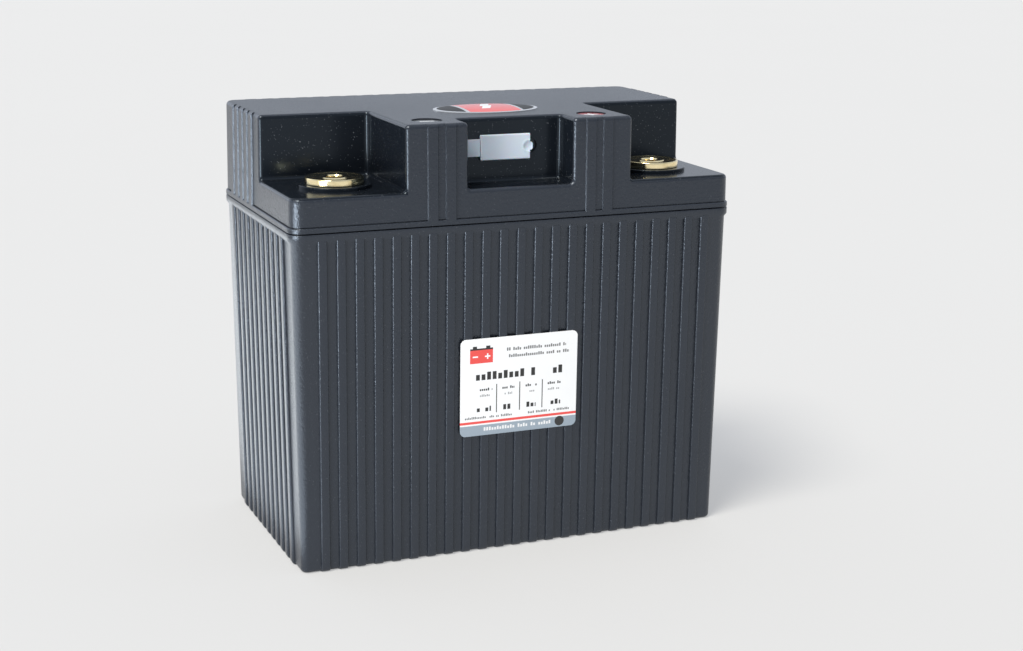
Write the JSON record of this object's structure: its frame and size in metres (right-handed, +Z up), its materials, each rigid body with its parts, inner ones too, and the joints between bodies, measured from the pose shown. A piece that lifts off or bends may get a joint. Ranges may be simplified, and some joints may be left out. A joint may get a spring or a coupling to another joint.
{
  "type": "motorcycle battery",
  "caption": "Sealed rectangular starter battery: ribbed case, stepped lid with recessed screw terminals and a covered balance port.",
  "frame": {"origin": "centre of the base", "axes": "+X along the front from the negative to the positive terminal, +Y from front to back, +Z up"},
  "size_m": [0.165, 0.0922, 0.1549],
  "materials": {
    "shell": "black moulded plastic with a fine grain",
    "brass": "turned and polished",
    "brass_nut": "machined",
    "steel": "zinc plated",
    "copper": "tinned copper strip; brass stands in for copper",
    "rubber_seal": "matt black rubber",
    "cell_sleeve": "blue shrink sleeve",
    "divider": "pressed insulating board",
    "foam": "closed-cell foam",
    "connector": "natural nylon",
    "pin_metal": "tinned brass",
    "flap": "translucent soft plastic",
    "wire_black": "insulated wire",
    "wire_white": "insulated wire",
    "wire_red": "insulated wire",
    "mark_black": "printed disc with a minus sign",
    "mark_red": "printed disc with a plus sign",
    "badge": null,
    "label": null
  },
  "bodies": {
    "root": {"case": "shell", "lid": "shell", "negative_terminal": "brass", "positive_terminal": "brass", "negative_terminal_gasket": "rubber_seal", "positive_terminal_gasket": "rubber_seal", "negative_terminal_washer": "steel", "positive_terminal_washer": "steel", "negative_terminal_nut": "brass_nut", "positive_terminal_nut": "brass_nut", "negative_lead": "copper", "positive_lead": "copper", "cell_1": "cell_sleeve", "cell_2": "cell_sleeve", "cell_3": "cell_sleeve", "cell_4": "cell_sleeve", "cell_link_1": "copper", "cell_link_2": "copper", "cell_link_3": "copper", "centre_divider": "divider", "left_divider": "divider", "right_divider": "divider", "cell_plate": "divider", "base_pad": "foam", "left_foam": "foam", "right_foam": "foam", "front_foam": "foam", "back_foam": "foam", "hold_down_foam": "foam", "port_housing": "connector", "port_pins": "pin_metal", "cover_strap": "flap", "balance_wire_1": "wire_black", "balance_wire_2": "wire_white", "balance_wire_3": "wire_white", "balance_wire_4": "wire_white", "balance_wire_5": "wire_red", "negative_mark": "mark_black", "positive_mark": "mark_red", "badge": "badge", "front_label": "label"},
    "port_cover": {"port_cover": "flap"}
  },
  "joints": [
    {"name": "port_cover_hinge", "type": "hinge", "parent": "root", "child": "port_cover", "pos_m": [-0.011, -0.0341, 0.1437], "axis": [0, 0, -1], "range_deg": [0, 105]}
  ]
}
